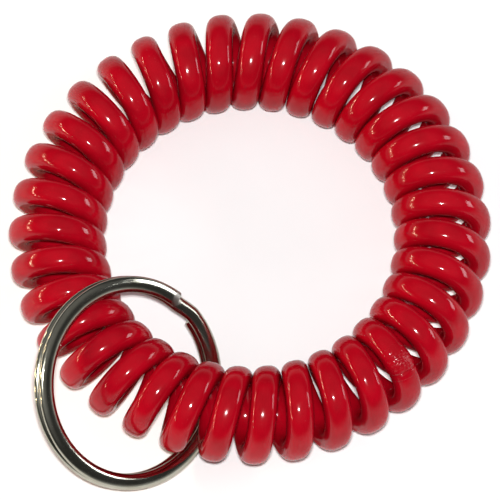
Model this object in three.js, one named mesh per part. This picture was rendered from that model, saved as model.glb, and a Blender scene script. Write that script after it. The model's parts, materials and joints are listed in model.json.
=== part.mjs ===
// Spiral wrist coil with a split key ring: one cord wound left-handed into turns, its two ends fused
// so that the turns form a closed band, and a split ring threaded round the band.
// Millimetres, +Z up. The band lies on the plane z = 0, held up on one side by the ring beneath it.
import * as THREE from "three";

// The cord and the tube that its turns form
const turnCount = 35; // turns of cord in the closed band
const cordWidth = 4.05; // cord's size along the band
const cordThickness = 3.75; // cord's size outward from the tube's centre line
const cordSquareness = 2.4; // exponent of the cord's rounded section; 2 is an ellipse
const tubeDiameter = 14.7; // outside of the tube that the turns form
const turnGap = 0.14; // free space between neighbouring turns on the wrist side

// The cuts between turns and the fused joint
const cutGap = 0.3; // space between the cut faces of neighbouring pieces
const weldLength = 1.2; // length of the fused bead along the cord
const weldSwell = 1.04; // bead's section as a share of the cord's
const weldTurnPlace = 315.3; // where round the band the welded turn has its crown, in degrees
const weldOnTurn = 64; // where round that turn the cord's ends meet; 0 is outermost and 90 is on top

// The split ring: two laps of flat wire
const ringDiameter = 32; // outside
const wireWidth = 2.45; // in the ring's plane
const wireThickness = 1.3; // through one lap
const wireChamfer = 0.4; // taken off the wire's four edges
const lapGap = 0.15; // space between the two laps
const crossoverSpan = 12; // degrees over which the wire steps from one lap to the other
const wireEndGap = 2.5; // degrees between a wire end and the crossover
const wireTipPlace = 96; // where the free end is, from the side of the ring that leans low, in degrees
const leafSpan = 180; // length of wire that springs open for threading, in degrees

// How the ring hangs on the band and how the band rests
const ringPlace = 232.6; // where round the band the ring is, in degrees
const ringOffset = 0.9; // ring's centre outside the tube's centre line
const ringTwist = 5; // degrees that its lean is turned outward, into the slant between two turns
const ringClearance = 0.2; // between the ring's inner edges and the tube
const restPlace = 89; // where round the band the tube touches the surface, in degrees

// Facets
const turnSteps = 16; // steps in one turn of cord
const cordSides = 8;
const wireStep = 7.5; // degrees of ring in one step
const crossoverStep = 3;

const cordMaterial = new THREE.MeshStandardMaterial({ color: 0xc4101c, roughness: 0.22, metalness: 0 });
const weldMaterial = new THREE.MeshStandardMaterial({ color: 0xb01520, roughness: 0.6, metalness: 0 });
const wireMaterial = new THREE.MeshStandardMaterial({ color: 0xb9b7ac, roughness: 0.18, metalness: 1 });

const radians = THREE.MathUtils.degToRad;
const up = new THREE.Vector3(0, 0, 1);

// The helix runs half a cord inside the tube's wall. Neighbouring turns come closest on the wrist
// side, so the cord's width there sets how long the band is.
const helixRadius = (tubeDiameter - cordThickness) / 2;
const innerPitch = Math.hypot(cordWidth + turnGap, (cordWidth + turnGap) ** 2 / (2 * Math.PI * helixRadius));
const bandRadius = helixRadius + (turnCount * innerPitch) / (2 * Math.PI);

const wireRadius = (ringDiameter - wireWidth) / 2;
const ringBore = ringDiameter / 2 - wireWidth;
const ringHalfHeight = wireThickness + lapGap / 2;
const lapHeight = (wireThickness + lapGap) / 2;

// Direction outward from the band's axis, at a place round the band.
function outwardAt(degrees) {
  const angle = radians(degrees);
  return new THREE.Vector3(Math.cos(angle), Math.sin(angle), 0);
}

// A point of the cord's centre line. turn counts from the welded turn, a whole number at each crown;
// the cord goes from outermost over the top to the wrist side as it advances counterclockwise.
function cordPoint(turn) {
  const place = weldTurnPlace + (360 * turn) / turnCount;
  const lift = Math.PI / 2 + 2 * Math.PI * turn;
  const outward = outwardAt(place);
  return outward
    .multiplyScalar(bandRadius + helixRadius * Math.cos(lift))
    .addScaledVector(up, helixRadius * Math.sin(lift));
}

// The cord's section plane at a turn: outward from the tube's centre line, and along the band.
function cordFrame(turn) {
  const nearby = 1e-3;
  const tangent = cordPoint(turn + nearby).sub(cordPoint(turn - nearby)).normalize();
  const place = weldTurnPlace + (360 * turn) / turnCount;
  const lift = Math.PI / 2 + 2 * Math.PI * turn;
  const outward = outwardAt(place).multiplyScalar(Math.cos(lift)).addScaledVector(up, Math.sin(lift));
  const across = new THREE.Vector3().crossVectors(outward, tangent).normalize();
  outward.crossVectors(tangent, across);
  return { origin: cordPoint(turn), across, outward };
}

// The rounded section of the cord, as points in its section plane.
function cordOutline(scale) {
  const power = 2 / cordSquareness;
  const corner = (size, value) => (size / 2) * Math.sign(value) * Math.abs(value) ** power;
  return Array.from({ length: cordSides }, (_, side) => {
    const angle = (2 * Math.PI * side) / cordSides;
    return [
      scale * corner(cordWidth, Math.cos(angle)),
      scale * corner(cordThickness, Math.sin(angle)),
    ];
  });
}

// The wire's section: a flat bar with its four edges taken off.
function wireOutline() {
  const halfThick = wireThickness / 2;
  const halfWide = wireWidth / 2;
  const flatThick = halfThick - wireChamfer;
  const flatWide = halfWide - wireChamfer;
  const corners = [[1, 1], [-1, 1], [-1, -1], [1, -1]];
  return corners.flatMap(([x, y]) => {
    const onSide = [x * halfThick, y * flatWide];
    const onEnd = [x * flatThick, y * halfWide];
    return x * y > 0 ? [onSide, onEnd] : [onEnd, onSide];
  });
}

// A closed solid that carries an outline through a row of section planes.
function sweptSolid(frames, outline) {
  const positions = [];
  for (const { origin, across, outward } of frames) {
    for (const [x, y] of outline) {
      const corner = origin.clone().addScaledVector(across, x).addScaledVector(outward, y);
      positions.push(corner.x, corner.y, corner.z);
    }
  }
  const sides = outline.length;
  const last = (frames.length - 1) * sides;
  const index = [];
  for (let start = 0; start < last; start += sides) {
    for (let side = 0; side < sides; side += 1) {
      const next = (side + 1) % sides;
      index.push(start + side, start + next, start + sides + next);
      index.push(start + side, start + sides + next, start + sides + side);
    }
  }
  for (let side = 1; side < sides - 1; side += 1) {
    index.push(0, side + 1, side);
    index.push(last, last + side, last + side + 1);
  }
  const geometry = new THREE.BufferGeometry();
  geometry.setAttribute("position", new THREE.Float32BufferAttribute(positions, 3));
  geometry.setIndex(index);
  geometry.computeVertexNormals();
  return geometry;
}

function namedMesh(name, geometry, material) {
  const mesh = new THREE.Mesh(geometry, material);
  mesh.name = name;
  return mesh;
}

// A length of cord between two turns' places, cut back at each end.
function cordPiece(name, from, to, cutBack, material = cordMaterial, scale = 1) {
  const start = from + cutBack;
  const end = to - cutBack;
  const steps = Math.max(2, Math.ceil((end - start) * turnSteps));
  const frames = Array.from({ length: steps + 1 }, (_, step) =>
    cordFrame(start + ((end - start) * step) / steps)
  );
  return namedMesh(name, sweptSolid(frames, cordOutline(scale)), material);
}

// The band: whole turns cut apart under the tube, and one turn in two lengths that the weld joins.
function coilBand() {
  const band = new THREE.Group();
  const cordPerTurn = Math.hypot(2 * Math.PI * helixRadius, (2 * Math.PI * bandRadius) / turnCount);
  const cut = cutGap / 2 / cordPerTurn;
  const halfTurn = 0.5;
  for (let turn = 1; turn < turnCount; turn += 1) {
    const name = "coil_turn_" + String(turn).padStart(2, "0");
    band.add(cordPiece(name, turn - halfTurn, turn + halfTurn, cut));
  }
  const weldAt = (weldOnTurn - 90) / 360;
  const weldHalf = weldLength / 2 / cordPerTurn;
  band.add(cordPiece("cord_end", -halfTurn, weldAt - weldHalf, cut));
  band.add(cordPiece("cord_start", weldAt + weldHalf, halfTurn, cut));
  band.add(cordPiece("cord_weld", weldAt - weldHalf, weldAt + weldHalf, cut, weldMaterial, weldSwell));
  return band;
}

// The wire's section plane in the ring's own frame, at degrees along the wire from its free end.
// The first lap is the upper one; the wire steps down to the second lap just short of its own end.
function wireFrame(degrees, crossoverStart) {
  const along = THREE.MathUtils.clamp((degrees - crossoverStart) / crossoverSpan, 0, 1);
  const height = THREE.MathUtils.lerp(lapHeight, -lapHeight, THREE.MathUtils.smoothstep(along, 0, 1));
  const outward = outwardAt(wireTipPlace + degrees);
  const origin = outward.clone().multiplyScalar(wireRadius).addScaledVector(up, height);
  return { origin, across: up.clone(), outward };
}

// Places from one angle to another, both included, no further apart than a step.
function anglesBetween(from, to, step) {
  const count = Math.max(1, Math.ceil((to - from) / step));
  return Array.from({ length: count + 1 }, (_, each) => from + ((to - from) * each) / count);
}

// The two-lap ring, flat in its own frame, with the springy first half lap as a leaf of its own.
function splitRing() {
  const crossoverStart = 360 - wireEndGap - crossoverSpan;
  const wireEnd = 360 + crossoverStart - wireEndGap;
  const cut = THREE.MathUtils.radToDeg(cutGap / 2 / wireRadius);
  const leafPlaces = anglesBetween(0, leafSpan - cut, wireStep);
  const bodyPlaces = [
    ...anglesBetween(leafSpan + cut, crossoverStart, wireStep),
    ...anglesBetween(crossoverStart, crossoverStart + crossoverSpan, crossoverStep).slice(1),
    ...anglesBetween(crossoverStart + crossoverSpan, wireEnd, wireStep).slice(1),
  ];
  const outline = wireOutline();
  const solid = (places) => sweptSolid(places.map((place) => wireFrame(place, crossoverStart)), outline);
  const ring = new THREE.Group();
  ring.add(namedMesh("split_ring", solid(bodyPlaces), wireMaterial));
  ring.add(namedMesh("split_ring_leaf", solid(leafPlaces), wireMaterial));
  return ring;
}

// The ring leans along the band until its inner edges meet the tube's top and underside.
const ringLean =
  Math.asin((tubeDiameter / 2 + ringClearance) / Math.hypot(ringBore, ringHalfHeight)) +
  Math.atan2(ringHalfHeight, ringBore);

function placedRing() {
  const ring = splitRing();
  const outward = outwardAt(ringPlace);
  const along = outwardAt(ringPlace + 90 + ringTwist);
  const low = along.clone().multiplyScalar(Math.cos(ringLean)).addScaledVector(up, -Math.sin(ringLean));
  const axis = along.clone().multiplyScalar(Math.sin(ringLean)).addScaledVector(up, Math.cos(ringLean));
  const side = new THREE.Vector3().crossVectors(axis, low);
  ring.applyMatrix4(new THREE.Matrix4().makeBasis(low, side, axis));
  ring.position.copy(outward).multiplyScalar(bandRadius + ringOffset);
  return { ring, axis };
}

// How far the band leans so that one plane touches both the tube at restPlace and the ring's low side.
function restingLean(ringCentre, ringAxis) {
  const restSide = outwardAt(restPlace);
  const heightDifference = (lean) => {
    const down = restSide.clone().multiplyScalar(Math.sin(lean)).addScaledVector(up, -Math.cos(lean));
    const tubeReach = bandRadius * Math.sin(lean) + tubeDiameter / 2;
    const tilt = down.dot(ringAxis);
    const rim = (ringDiameter / 2) * Math.sqrt(1 - tilt * tilt) + ringHalfHeight * Math.abs(tilt);
    const chamferCut = wireChamfer * Math.min(Math.abs(tilt), Math.sqrt(1 - tilt * tilt));
    return tubeReach - (down.dot(ringCentre) + rim - chamferCut);
  };
  let flat = 0;
  let steep = Math.PI / 4;
  for (let halving = 0; halving < 40; halving += 1) {
    const middle = (flat + steep) / 2;
    if (heightDifference(middle) > 0) {
      steep = middle;
    } else {
      flat = middle;
    }
  }
  return { lean: flat, restSide };
}

const { ring, axis: ringAxis } = placedRing();
const band = new THREE.Group();
band.add(coilBand(), ring);

const { lean, restSide } = restingLean(ring.position, ringAxis);
const floorNormal = up.clone().multiplyScalar(Math.cos(lean)).addScaledVector(restSide, -Math.sin(lean));
band.quaternion.setFromUnitVectors(floorNormal, up);

// The origin is under the middle of the object, on the surface that it rests on.
const object = new THREE.Group();
object.add(band);
object.updateMatrixWorld(true);
const bounds = new THREE.Box3().setFromObject(object, true);
const middle = bounds.getCenter(new THREE.Vector3());
band.position.set(-middle.x, -middle.y, -bounds.min.z);

export default object;
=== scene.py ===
"""Looks of the spiral wrist coil and its split ring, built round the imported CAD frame. Metres."""
import json
import math
import bpy
import numpy as np
from mathutils import Matrix, Vector

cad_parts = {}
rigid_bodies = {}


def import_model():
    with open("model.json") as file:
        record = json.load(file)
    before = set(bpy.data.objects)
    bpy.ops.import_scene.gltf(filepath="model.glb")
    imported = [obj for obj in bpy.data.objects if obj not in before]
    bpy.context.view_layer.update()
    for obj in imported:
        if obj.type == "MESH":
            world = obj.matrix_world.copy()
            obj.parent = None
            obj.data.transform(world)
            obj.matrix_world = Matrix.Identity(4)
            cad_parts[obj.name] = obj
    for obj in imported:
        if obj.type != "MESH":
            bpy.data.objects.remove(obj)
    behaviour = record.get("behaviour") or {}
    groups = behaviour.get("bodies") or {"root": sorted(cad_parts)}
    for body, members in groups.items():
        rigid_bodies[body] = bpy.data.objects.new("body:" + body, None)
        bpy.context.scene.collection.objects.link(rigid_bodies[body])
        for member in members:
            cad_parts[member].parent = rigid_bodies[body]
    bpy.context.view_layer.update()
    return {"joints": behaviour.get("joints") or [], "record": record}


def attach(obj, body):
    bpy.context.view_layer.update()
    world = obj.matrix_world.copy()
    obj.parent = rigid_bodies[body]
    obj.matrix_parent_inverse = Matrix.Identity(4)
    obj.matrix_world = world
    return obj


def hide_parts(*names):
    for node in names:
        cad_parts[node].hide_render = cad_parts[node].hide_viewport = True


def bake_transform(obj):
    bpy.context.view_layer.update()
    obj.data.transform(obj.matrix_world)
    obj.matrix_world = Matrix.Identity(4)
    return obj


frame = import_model()

# The cord and the tube that its turns form
TURN_COUNT = 35
CORD_WIDTH = 0.0041
CORD_THICKNESS = 0.00375
CORD_SQUARENESS = 2.35
TUBE_DIAMETER = 0.0147
CAD_CORD_WIDTH = 0.00405
TURN_GAP = 0.00014
WELD_TURN_PLACE = 315.3
WELD_ON_TURN = 64
ARC_HALF = 112 / 360  # a turn's stiff arc over the top, either side of its crown, in turns
HAIR_GAP = 0.0006  # in turns, at the one place where two turns of the loop share no joint
WELD_HALF_LENGTH = 0.0021
BEAD_HEIGHT = 0.00011
CREASE_DEPTH = 0.00016
LUMP_HEIGHT = 0.00007

# The split ring
RING_DIAMETER = 0.032
WIRE_WIDTH = 0.00245
WIRE_THICKNESS = 0.0013
WIRE_SQUARENESS = 2.15
LAP_GAP = 0.00015
WIRE_TIP_PLACE = 96
LEAF_SPAN = 180
CROSSOVER_SPAN = 12
WIRE_END_GAP = 2.5
LEAF_OVERLAP = 0.4  # degrees by which the laps start before the leaf ends
RUB_LENGTHS = (0.00012, 0.00003)  # where a blunt end's rubbed edges begin and nearly end
RUB_SCALES = (0.86, 0.94)  # the wire's size at a blunt end and just before it
RING_PLACE = 232.6
RING_OFFSET = 0.0009

# Mesh fineness
ARC_STEPS = 56
CORD_END_STEPS = 20
CORD_START_STEPS = 36
WELD_STEPS = 60
WELD_SIDES = 96
LINK_STEPS = 32
CORD_SIDES = 32
WIRE_SIDES = 28
WIRE_STEP = 1.5

# The camera looks along +Y, nearly straight down
CAMERA_ELEVATION = 70.5
CAMERA_DISTANCE = 1.17
VIEW_WIDTH = 0.0753  # how much of the object's surroundings the frame's width takes in
VIEW_DROP = 0.0020  # how far below the band's centre, in the picture, the camera looks
SENSOR_WIDTH = 36

# The stage
FLOOR_HALF_WIDTH = 1.5
FLOOR_HEIGHT = -0.0002

# A broken row of warm lamps along the left: azimuth in degrees and length of each
WARM_STRIP = ((-122, 0.05), (-112, 0.09), (-99, 0.03), (-90, 0.12), (-76, 0.06), (-66, 0.03))

HELIX_RADIUS = (TUBE_DIAMETER - CORD_THICKNESS) / 2
TIGHT_WIDTH = CAD_CORD_WIDTH + TURN_GAP
INNER_PITCH = math.hypot(TIGHT_WIDTH, TIGHT_WIDTH**2 / (2 * math.pi * HELIX_RADIUS))
BAND_RADIUS = HELIX_RADIUS + TURN_COUNT * INNER_PITCH / (2 * math.pi)
WIRE_RADIUS = (RING_DIAMETER - WIRE_WIDTH) / 2
LAP_HEIGHT = (WIRE_THICKNESS + LAP_GAP) / 2


def joint(name):
    """The frame's joint of that name."""
    return next(j for j in frame["joints"] if j["name"] == name)


def outward_at(degrees):
    """Direction outward from the band's axis at a place round it, in the band's own frame."""
    angle = math.radians(degrees)
    return Vector((math.cos(angle), math.sin(angle), 0))


def ring_matrix():
    """The ring's own frame: X to its low side, Y along its swing axis, Z out of its upper face."""
    swing = joint("ring_swing")
    face = next(m for m in frame["record"]["mounts"] if m["name"] == "ring_flat")
    y = Vector(swing["axis"]).normalized()
    z = Vector(face["axis"]).normalized()
    x = y.cross(z)
    turn = Matrix((x, y, z)).transposed().to_4x4()
    return Matrix.Translation(Vector(swing["pos_m"])) @ turn


def band_matrix():
    """The band's own frame: Z along its axis, at the centre of the loop."""
    first = Vector(joint("band_stretch")["axis"])
    third = Vector(joint("stretch_coil_turn_22")["axis"])
    normal = first.cross(third).normalized()
    turn = Vector((0, 0, 1)).rotation_difference(normal).to_matrix().to_4x4()
    to_ring = turn @ (outward_at(RING_PLACE) * (BAND_RADIUS + RING_OFFSET))
    return Matrix.Translation(Vector(joint("ring_swing")["pos_m"]) - to_ring) @ turn


BAND = band_matrix()
RING = ring_matrix()


def body_name(turn):
    """The body that carries a turn, counted from the welded one."""
    turn %= TURN_COUNT
    return "coil_turn_%02d" % turn if turn else "welded_turn"


def cord_points(turns):
    """The cord's centre line in the band's frame, at places in turns from the welded turn's crown."""
    place = np.radians(WELD_TURN_PLACE) + 2 * np.pi * turns / TURN_COUNT
    lift = np.pi / 2 + 2 * np.pi * turns
    reach = BAND_RADIUS + HELIX_RADIUS * np.cos(lift)
    return np.stack([reach * np.cos(place), reach * np.sin(place), HELIX_RADIUS * np.sin(lift)], 1)


def unit(rows):
    """Each row scaled to length 1."""
    return rows / np.linalg.norm(rows, axis=1, keepdims=True)


def cord_frames(turns):
    """Origins, and the across and outward directions of the cord's section, in the row frame."""
    nearby = 1e-4
    tangent = unit(cord_points(turns + nearby) - cord_points(turns - nearby))
    place = np.radians(WELD_TURN_PLACE) + 2 * np.pi * turns / TURN_COUNT
    lift = np.pi / 2 + 2 * np.pi * turns
    outward = np.stack([np.cos(place) * np.cos(lift), np.sin(place) * np.cos(lift), np.sin(lift)], 1)
    across = unit(np.cross(outward, tangent))
    outward = np.cross(tangent, across)
    turn = np.array(BAND.to_3x3())
    shift = np.array(BAND.translation)
    return cord_points(turns) @ turn.T + shift, across @ turn.T, outward @ turn.T


def section(width, thickness, squareness, sides):
    """A rounded section and its outward normals: x along the width, y along the thickness."""
    angle = 2 * np.pi * np.arange(sides) / sides
    c, s = np.cos(angle), np.sin(angle)
    power = 2 / squareness
    x = width / 2 * np.sign(c) * np.abs(c) ** power
    y = thickness / 2 * np.sign(s) * np.abs(s) ** power
    slope = squareness - 1
    nx = np.sign(x) * np.abs(2 * x / width) ** slope / width
    ny = np.sign(y) * np.abs(2 * y / thickness) ** slope / thickness
    return np.stack([x, y], 1), unit(np.stack([nx, ny], 1))


def swept(name, frames, outline, normals, scale=None, shape=None):
    """A closed, smooth-shaded mesh that carries a section through a row of section planes."""
    origin, across, outward = frames
    steps, sides = len(origin), len(outline)
    size = np.ones(steps) if scale is None else scale
    ring = outline[None] * size[:, None, None]
    points = origin[:, None] + ring[..., :1] * across[:, None] + ring[..., 1:] * outward[:, None]
    facing = normals[None, :, :1] * across[:, None] + normals[None, :, 1:] * outward[:, None]
    if shape is not None:
        points = shape(points, facing)
    mesh = bpy.data.meshes.new(name)
    faces = []
    for step in range(steps - 1):
        for side in range(sides):
            here, there = step * sides, (step + 1) * sides
            following = (side + 1) % sides
            faces.append((here + side, here + following, there + following, there + side))
    last = (steps - 1) * sides
    faces.append(tuple(range(sides))[::-1])
    faces.append(tuple(range(last, last + sides)))
    mesh.from_pydata(points.reshape(-1, 3).tolist(), [], faces)
    mesh.update()
    mesh.shade_smooth()
    caps = mesh.polygons[len(faces) - 2 :]
    for cap in caps:
        cap.use_smooth = False
    if shape is None:
        corner_normals = [facing.reshape(-1, 3)[loop.vertex_index] for loop in mesh.loops]
        for cap in caps:
            for loop in cap.loop_indices:
                corner_normals[loop] = cap.normal
        mesh.normals_split_custom_set([tuple(n) for n in corner_normals])
    piece = bpy.data.objects.new(name, mesh)
    bpy.context.scene.collection.objects.link(piece)
    return piece


# Materials


class Nodes:
    """A material's node tree with short ways to add and join nodes."""

    def __init__(self, name):
        self.material = bpy.data.materials.new(name)
        self.material.use_nodes = True
        self.tree = self.material.node_tree
        self.tree.nodes.clear()
        self.shader = self.add("ShaderNodeBsdfPrincipled")
        output = self.add("ShaderNodeOutputMaterial")
        self.join(self.shader.outputs["BSDF"], output.inputs["Surface"])
        self.place = self.add("ShaderNodeTexCoord").outputs["Object"]

    def add(self, kind, **settings):
        """A new node of that kind with its settings made."""
        node = self.tree.nodes.new(kind)
        for key, value in settings.items():
            setattr(node, key, value)
        return node

    def join(self, source, target):
        """Links an output to an input."""
        self.tree.links.new(source, target)

    def noise(self, size, detail=3.0, stretch=None):
        """Noise whose lumps are about size metres across, from 0 to 1."""
        vector = self.place
        if stretch is not None:
            mapping = self.add("ShaderNodeMapping")
            mapping.inputs["Scale"].default_value = stretch
            self.join(vector, mapping.inputs["Vector"])
            vector = mapping.outputs["Vector"]
        node = self.add("ShaderNodeTexNoise")
        node.inputs["Scale"].default_value = 1 / size
        node.inputs["Detail"].default_value = detail
        self.join(vector, node.inputs["Vector"])
        return node.outputs["Fac"]

    def ramp(self, factor, *stops):
        """A colour ramp through (place, colour) stops."""
        node = self.add("ShaderNodeValToRGB")
        elements = node.color_ramp.elements
        while len(elements) < len(stops):
            elements.new(0.5)
        for element, (place, colour) in zip(elements, stops):
            element.position = place
            element.color = (*colour, 1)
        self.join(factor, node.inputs["Fac"])
        return node.outputs["Color"]

    def between(self, factor, low, high, from_low=0.3, from_high=0.7):
        """A value that runs from low to high as factor does from from_low to from_high."""
        node = self.add("ShaderNodeMapRange", clamp=True)
        node.inputs["From Min"].default_value = from_low
        node.inputs["From Max"].default_value = from_high
        node.inputs["To Min"].default_value = low
        node.inputs["To Max"].default_value = high
        self.join(factor, node.inputs["Value"])
        return node.outputs["Result"]

    def maths(self, operation, first, second):
        """The result of a maths operation; either term may be a socket or a plain number."""
        node = self.add("ShaderNodeMath", operation=operation)
        for socket, value in zip(node.inputs, (first, second)):
            if isinstance(value, (int, float)):
                socket.default_value = value
            else:
                self.join(value, socket)
        return node.outputs["Value"]

    def mix(self, factor, first, second):
        """Two colours mixed by factor; either may be a socket or a plain colour."""
        node = self.add("ShaderNodeMix", data_type="RGBA")
        self.join(factor, node.inputs["Factor"])
        for key, value in (("A", first), ("B", second)):
            socket = next(s for s in node.inputs if s.name == key and s.type == "RGBA")
            if isinstance(value, tuple):
                socket.default_value = (*value, 1)
            else:
                self.join(value, socket)
        return next(s for s in node.outputs if s.type == "RGBA")

    def near(self, point, reach, soft):
        """1 close to a point and 0 beyond reach, over a soft edge."""
        node = self.add("ShaderNodeVectorMath", operation="DISTANCE")
        self.join(self.place, node.inputs[0])
        node.inputs[1].default_value = point
        return self.between(node.outputs["Value"], 1, 0, reach - soft, reach)

    def bump(self, height, strength, distance, after=None):
        """A normal that follows height, laid over an earlier normal if one is given."""
        node = self.add("ShaderNodeBump")
        node.inputs["Strength"].default_value = strength
        node.inputs["Distance"].default_value = distance
        self.join(height, node.inputs["Height"])
        if after is not None:
            self.join(after, node.inputs["Normal"])
        return node.outputs["Normal"]


def set_sockets(shader, **values):
    """Sets plain values on the shader, named with underscores for spaces."""
    for key, value in values.items():
        shader.inputs[key.replace("_", " ")].default_value = value


DEEP_RED = (0.32, 0.0010, 0.0074)
BRIGHT_RED = (0.415, 0.0015, 0.0102)
DUSTY_RED = (0.45, 0.050, 0.060)


def cord_material(name, weld_point=None):
    """Glossy soft plastic with faint mottling and moulding ripples, and scuffs round the weld if asked.

    Its gloss is a thin coat, so that the cord's rims mirror the floor less than solid plastic would.
    """
    n = Nodes(name)
    mottle = n.noise(0.0035)
    colour = n.mix(n.between(mottle, 0, 1), DEEP_RED, BRIGHT_RED)
    specks = n.between(n.noise(0.00035, 2), 0, 0.35, 0.68, 0.80)
    colour = n.mix(specks, colour, DUSTY_RED)
    roughness = n.between(n.noise(0.0022), 0.07, 0.16)
    ripple = n.bump(n.noise(0.0016, 1.5), 0.10, 0.0003)
    normal = n.bump(n.noise(0.00022, 2), 0.05, 0.00005, ripple)
    if weld_point is not None:
        scuffed = n.near(weld_point, 0.0019, 0.0009)
        scratches = n.noise(0.00026, 3, (1.0, 0.45, 1.0))
        marks = n.maths("MULTIPLY", scuffed, n.between(scratches, 0, 1, 0.52, 0.66))
        colour = n.mix(n.maths("MULTIPLY", marks, 0.45), colour, DUSTY_RED)
        normal = n.bump(n.maths("MULTIPLY", scuffed, scratches), 0.5, 0.00025, normal)
    n.join(colour, n.shader.inputs["Base Color"])
    for layer in ("", "Coat "):
        n.join(roughness, n.shader.inputs[layer + "Roughness"])
        n.join(normal, n.shader.inputs[layer + "Normal"])
    set_sockets(n.shader, Specular_IOR_Level=0, Coat_Weight=0.6, Coat_IOR=1.46)
    return n.material


def wire_material(name, tip):
    """Bright nickel plate with drawing lines and fine scratches, dull where the wire's end is cut."""
    n = Nodes(name)
    tarnish = n.noise(0.004)
    colour = n.ramp(tarnish, (0.30, (0.36, 0.35, 0.28)), (0.75, (0.50, 0.49, 0.42)))
    cut = n.near(tip, 0.0016, 0.0006)
    colour = n.mix(cut, colour, (0.30, 0.29, 0.26))
    fine = n.noise(0.00018, 4, (1.0, 1.0, 5.0))
    roughness = n.between(fine, 0.07, 0.17)
    roughness = n.maths("ADD", roughness, n.maths("MULTIPLY", cut, 0.3))
    n.join(colour, n.shader.inputs["Base Color"])
    n.join(roughness, n.shader.inputs["Roughness"])
    normal = n.bump(n.noise(0.0030, 1), 0.08, 0.0004)
    n.join(n.bump(fine, 0.06, 0.00005, normal), n.shader.inputs["Normal"])
    set_sockets(n.shader, Metallic=1.0)
    return n.material


def wear(piece, material):
    """Gives a piece its material."""
    piece.data.materials.append(material)


# The cord


def crown_piece(name, start, end, body, material, steps=ARC_STEPS):
    """A turn's stiff arc over the top of the tube, or a share of one."""
    turns = np.linspace(start, end, steps + 1)
    outline, normals = section(CORD_WIDTH, CORD_THICKNESS, CORD_SQUARENESS, CORD_SIDES)
    piece = swept(name, cord_frames(turns), outline, normals)
    wear(piece, material)
    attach(piece, body)
    return piece


def link_piece(turn, material):
    """The strand under the tube between one turn and the next, which on the real band flexes as the band
    stretches.
    """
    here, there = body_name(turn), body_name(turn + 1)
    stretches = {here, there} in [{j["parent"], j["child"]} for j in frame["joints"]]
    short = 0 if stretches else HAIR_GAP
    turns = np.linspace(turn + ARC_HALF, turn + 1 - ARC_HALF - short, LINK_STEPS + 1)
    outline, normals = section(CORD_WIDTH, CORD_THICKNESS, CORD_SQUARENESS, CORD_SIDES)
    frames = cord_frames(turns)
    piece = swept("cord_link_%02d" % turn, frames, outline, normals)
    wear(piece, material)
    if stretches:
        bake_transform(piece)
    else:
        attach(piece, here)
    return piece


def weld_piece(start, end, body, material):
    """The fused joint: a low bead with a crease beside it and a lumpy, scraped skin."""
    turns = np.linspace(start, end, WELD_STEPS + 1)
    outline, normals = section(CORD_WIDTH, CORD_THICKNESS, CORD_SQUARENESS, WELD_SIDES)
    along = np.linspace(-1, 1, len(turns))
    bead = BEAD_HEIGHT * np.exp(-((along / 0.45) ** 2)) * (1 - along**2)
    crease = -CREASE_DEPTH * np.exp(-(((along + 0.62) / 0.07) ** 2))
    chance = np.random.default_rng(7)
    lumps = chance.normal(size=(len(turns), WELD_SIDES))
    kernel = np.exp(-(np.linspace(-2, 2, 5) ** 2))
    kernel /= kernel.sum()
    for axis in (0, 1):
        lumps = np.apply_along_axis(lambda row: np.convolve(row, kernel, "same"), axis, lumps)
    lumps *= LUMP_HEIGHT * (1 - along[:, None] ** 2)

    def shape(points, facing):
        return points + facing * (bead[:, None] + crease[:, None] + lumps)[..., None]

    piece = swept("cord_weld_bead", cord_frames(turns), outline, normals, shape=shape)
    wear(piece, material)
    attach(piece, body)
    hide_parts("cord_weld")
    return piece


def weld_place():
    """The weld's place in turns, and its point on the cord's outer skin in the row frame."""
    turns = (WELD_ON_TURN - 90) / 360
    origin, _, outward = cord_frames(np.array([turns]))
    return turns, tuple(origin[0] + outward[0] * CORD_THICKNESS / 2)


def coil():
    """All the turns, the welded one in three pieces, and the strands between them."""
    weld_turns, weld_point = weld_place()
    plastic = cord_material("red_plastic")
    scuffed = cord_material("red_plastic_scuffed", weld_point)
    weld_half = WELD_HALF_LENGTH / (2 * math.pi * HELIX_RADIUS)
    weld_start = weld_turns - weld_half
    weld_end = weld_turns + weld_half
    for turn in range(1, TURN_COUNT):
        name = "cord_turn_%02d" % turn
        piece = crown_piece(name, turn - ARC_HALF, turn + ARC_HALF, body_name(turn), plastic)
        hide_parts("coil_turn_%02d" % turn)
    body = body_name(0)
    before = crown_piece("cord_end_arc", -ARC_HALF, weld_start, body, scuffed, CORD_END_STEPS)
    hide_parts("cord_end")
    after = crown_piece("cord_start_arc", weld_end, ARC_HALF, body, scuffed, CORD_START_STEPS)
    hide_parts("cord_start")
    weld_piece(weld_start, weld_end, body, scuffed)
    for turn in range(TURN_COUNT):
        link_piece(turn, plastic)


# The split ring


def wire_frames(degrees, crossover_start):
    """Section planes of the wire at degrees from its free end: it steps down a lap at the crossover."""
    share = np.clip((degrees - crossover_start) / CROSSOVER_SPAN, 0, 1)
    height = LAP_HEIGHT * (1 - 2 * share**2 * (3 - 2 * share))
    angle = np.radians(WIRE_TIP_PLACE + degrees)
    outward = np.stack([np.cos(angle), np.sin(angle), 0 * angle], 1)
    origin = WIRE_RADIUS * outward + height[:, None] * np.array([0, 0, 1])
    axis = np.tile([0.0, 0.0, 1.0], (len(degrees), 1))
    turn = np.array(RING.to_3x3())
    shift = np.array(RING.translation)
    return origin @ turn.T + shift, axis @ turn.T, outward @ turn.T


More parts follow.
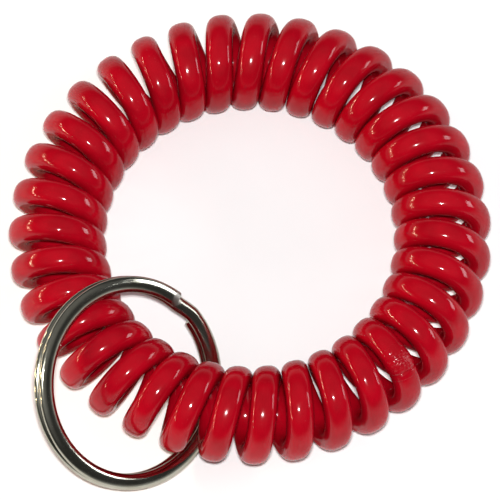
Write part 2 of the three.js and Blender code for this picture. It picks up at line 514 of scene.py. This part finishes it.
def wire_piece(name, start, end, crossover_start, material, blunt_start=False, blunt_end=False):
    """A length of flat wire; its blunt ends have their edges rubbed down."""
    count = max(2, round((end - start) / WIRE_STEP))
    degrees = np.linspace(start, end, count + 1)
    scale = np.ones(len(degrees))
    far_rub, near_rub = np.degrees(np.array(RUB_LENGTHS) / WIRE_RADIUS)
    if blunt_start:
        degrees = np.r_[start, start + near_rub, start + far_rub, degrees[1:]]
        scale = np.r_[RUB_SCALES, 1.0, np.ones(count)]
    if blunt_end:
        degrees = np.r_[degrees[:-1], end - far_rub, end - near_rub, end]
        scale = np.r_[scale[:-1], 1.0, RUB_SCALES[::-1]]
    outline, normals = section(WIRE_THICKNESS, WIRE_WIDTH, WIRE_SQUARENESS, WIRE_SIDES)
    piece = swept(name, wire_frames(degrees, crossover_start), outline, normals, scale=scale)
    wear(piece, material)
    return piece


def split_ring():
    """The two laps of wire, and the free half lap, which on the real ring bends up from its far end."""
    crossover_start = 360 - WIRE_END_GAP - CROSSOVER_SPAN
    wire_end = 360 + crossover_start - WIRE_END_GAP
    tip = wire_frames(np.array([0.0]), crossover_start)[0][0]
    nickel = wire_material("nickel_plate", tuple(tip))
    laps_start = LEAF_SPAN - LEAF_OVERLAP
    laps = wire_piece("split_ring_wire", laps_start, wire_end, crossover_start, nickel, blunt_end=True)
    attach(laps, "split_ring")
    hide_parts("split_ring")
    leaf = wire_piece("split_ring_free_lap", 0, LEAF_SPAN, crossover_start, nickel, blunt_start=True)
    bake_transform(leaf)
    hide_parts("split_ring_leaf")


# The stage, lights and camera


def floor():
    """A pale plain floor, far wider than the view."""
    n = Nodes("pale_floor")
    colour = n.ramp(n.noise(0.02), (0.3, (0.93, 0.93, 0.93)), (0.7, (0.96, 0.96, 0.96)))
    n.join(colour, n.shader.inputs["Base Color"])
    set_sockets(n.shader, Roughness=0.7)
    half = FLOOR_HALF_WIDTH
    mesh = bpy.data.meshes.new("floor")
    corners = [(-half, -half, 0), (half, -half, 0), (half, half, 0), (-half, half, 0)]
    mesh.from_pydata(corners, [], [(0, 1, 2, 3)])
    mesh.materials.append(n.material)
    stage = bpy.data.objects.new("floor", mesh)
    bpy.context.scene.collection.objects.link(stage)
    stage.location.z = FLOOR_HEIGHT


def surroundings():
    """White all round, dark above that and grey overhead, as in a light tent that is open at the top."""
    world = bpy.data.worlds.new("light_tent")
    world.use_nodes = True
    bpy.context.scene.world = world
    tree = world.node_tree
    background = tree.nodes["Background"]
    place = tree.nodes.new("ShaderNodeTexCoord")
    parts = tree.nodes.new("ShaderNodeSeparateXYZ")
    ramp = tree.nodes.new("ShaderNodeValToRGB")
    tree.links.new(place.outputs["Generated"], parts.inputs["Vector"])
    tree.links.new(parts.outputs["Z"], ramp.inputs["Fac"])
    tree.links.new(ramp.outputs["Color"], background.inputs["Color"])
    stops = ((0.0, 0.80), (0.08, 0.65), (0.20, 0.20), (0.30, 0.05), (0.55, 0.05), (0.80, 0.24))
    elements = ramp.color_ramp.elements
    while len(elements) < len(stops):
        elements.new(0.5)
    for element, (height, grey) in zip(elements, stops):
        element.position = height
        element.color = (grey, grey, grey, 1)
    background.inputs["Strength"].default_value = 1.0


def lamp(name, azimuth, elevation, distance, size, power, colour=(1, 1, 1)):
    """A rectangular lamp that faces the object from a direction round it, in degrees."""
    a, e = math.radians(azimuth), math.radians(elevation)
    away = Vector((math.sin(a) * math.cos(e), -math.cos(a) * math.cos(e), math.sin(e)))
    light = bpy.data.lights.new(name, "AREA")
    light.shape = "RECTANGLE"
    light.size, light.size_y = size
    light.energy = power
    light.color = colour
    lamp_object = bpy.data.objects.new(name, light)
    bpy.context.scene.collection.objects.link(lamp_object)
    lamp_object.location = away * distance
    lamp_object.rotation_euler = (-away).to_track_quat("-Z", "Y").to_euler()


def lights():
    """A small flash beside the camera, a window on the right and the warm strip on the left."""
    lamp("flash", 0, CAMERA_ELEVATION + 2, 1.1, (0.05, 0.035), 10.6)
    lamp("window", 103, 22, 0.8, (0.34, 0.16), 1.6, (0.93, 0.96, 1.0))
    for number, (azimuth, length) in enumerate(WARM_STRIP):
        lamp("warm_strip_%d" % number, azimuth, 18, 0.8, (length, 0.025), 8 * length, (1.0, 0.76, 0.5))


def camera():
    """A camera that looks nearly straight down at the band."""
    elevation = math.radians(CAMERA_ELEVATION)
    away = Vector((0, -math.cos(elevation), math.sin(elevation)))
    across_view = Vector((0, math.sin(elevation), math.cos(elevation)))
    target = BAND.translation - across_view * VIEW_DROP
    data = bpy.data.cameras.new("camera")
    data.sensor_width = SENSOR_WIDTH
    data.lens = data.sensor_width * CAMERA_DISTANCE / VIEW_WIDTH
    data.clip_end = 10
    view = bpy.data.objects.new("camera", data)
    bpy.context.scene.collection.objects.link(view)
    view.location = target + away * CAMERA_DISTANCE
    view.rotation_euler = (-away).to_track_quat("-Z", "Y").to_euler()
    bpy.context.scene.camera = view


bpy.context.scene.view_settings.view_transform = "Standard"
camera()
coil()
split_ring()
floor()
surroundings()
lights()
